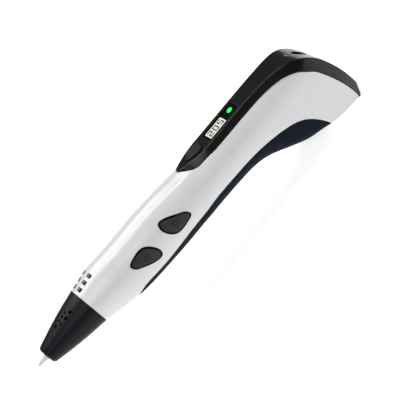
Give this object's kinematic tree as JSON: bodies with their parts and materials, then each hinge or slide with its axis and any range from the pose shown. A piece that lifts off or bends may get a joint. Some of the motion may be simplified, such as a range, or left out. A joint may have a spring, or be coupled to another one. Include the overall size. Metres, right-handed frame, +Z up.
{
  "type": "three d pen",
  "caption": "Handheld 3-D printing pen: split white body, black top and belly covers, perforated hot nose, feed buttons, small display and a filament drive inside.",
  "frame": {"origin": "centre of the nozzle's orifice, at the tip", "axes": "+X along the filament path towards the tail's filament inlet; +Z up through the top cover and the display; +Y away from the side that carries the two feed buttons"},
  "size_m": [0.1827, 0.0249, 0.0441],
  "materials": {
    "white_shell": "satin",
    "black_cover": "gloss",
    "nose_black": "satin",
    "button_grey": "satin",
    "bezel_black": "satin",
    "lens_smoke": "gloss",
    "oled": "gloss",
    "led_green": "gloss",
    "board_green": "satin",
    "switch_body": "matte",
    "nozzle_ceramic": "satin",
    "steel": "brushed",
    "brass": "satin",
    "aluminium": "satin",
    "sleeve": "matte",
    "ptfe": "satin",
    "frame_grey": "matte",
    "gear_white": "satin",
    "motor_steel": "brushed",
    "socket_black": "matte"
  },
  "bodies": {
    "pen_body": {"left_shell": "white_shell", "right_shell": "white_shell", "top_cover": "black_cover", "bottom_cover": "black_cover", "nose_cone": "nose_black", "button_bezel": "bezel_black", "display_lens": "lens_smoke", "oled_panel": "oled", "status_led": "led_green", "main_board": "board_green", "button_board": "board_green", "tact_switches": "switch_body", "nozzle": "nozzle_ceramic", "melt_tube": "steel", "heater_core": "aluminium", "insulating_sleeve": "sleeve", "thermistor": "sleeve", "hot_end_holder": "ptfe", "front_guide_tube": "ptfe", "rear_guide_tube": "ptfe", "inlet_bush": "nose_black", "drive_frame": "frame_grey", "shaft_bushes": "brass", "gearbox": "motor_steel", "motor": "motor_steel", "motor_cradle": "frame_grey", "idler_pivot_pin": "steel", "arm_spring": "steel", "power_socket": "socket_black", "shell_screws": "steel"},
    "feed_button_body": {"feed_button": "button_grey", "feed_plunger": "switch_body"},
    "retract_button_body": {"retract_button": "button_grey", "retract_plunger": "switch_body"},
    "mode_button_body": {"mode_button": "button_grey", "mode_plunger": "switch_body"},
    "feed_shaft_body": {"feed_shaft": "steel", "feed_roller": "brass", "crown_gear": "gear_white"},
    "pinion_body": {"pinion": "brass", "motor_shaft": "steel"},
    "idler_arm_body": {"idler_arm": "frame_grey", "idler_axle": "steel"},
    "idler_body": {"idler_bearing": "steel"}
  },
  "joints": [
    {"name": "feed_button_press", "type": "slide", "parent": "pen_body", "child": "feed_button_body", "axis": [0, 1, 0], "range_m": [0, 0.0006], "stiffness_N_per_m": 800, "springref_m": -0.0002},
    {"name": "retract_button_press", "type": "slide", "parent": "pen_body", "child": "retract_button_body", "axis": [0, 1, 0], "range_m": [0, 0.0006], "stiffness_N_per_m": 800, "springref_m": -0.0002},
    {"name": "mode_button_press", "type": "slide", "parent": "pen_body", "child": "mode_button_body", "axis": [0, 0, -1], "range_m": [0, 0.0005], "stiffness_N_per_m": 800, "springref_m": -0.0002},
    {"name": "feed_shaft_spin", "type": "hinge", "parent": "pen_body", "child": "feed_shaft_body", "pos_m": [0.094, 0, -0.00478], "axis": [0, 1, 0], "continuous": true},
    {"name": "pinion_spin", "type": "hinge", "parent": "pen_body", "child": "pinion_body", "pos_m": [0.1, 0.006, -0.00478], "axis": [1, 0, 0], "continuous": true},
    {"name": "idler_arm_pivot", "type": "hinge", "parent": "pen_body", "child": "idler_arm_body", "pos_m": [0.0876, 0, 0.0039], "axis": [0, -1, 0], "range_deg": [0, 5], "stiffness_Nm_per_rad": 0.02, "springref_deg": -5.73, "deforming": ["arm_spring"]},
    {"name": "idler_spin", "type": "hinge", "parent": "idler_arm_body", "child": "idler_body", "pos_m": [0.094, 0, 0.00317], "axis": [0, 1, 0], "continuous": true}
  ],
  "couplings": [
    {"joint": "pinion_spin", "follows": "feed_shaft_spin", "ratio": 3},
    {"joint": "idler_spin", "follows": "feed_shaft_spin", "ratio": -1.6667}
  ]
}
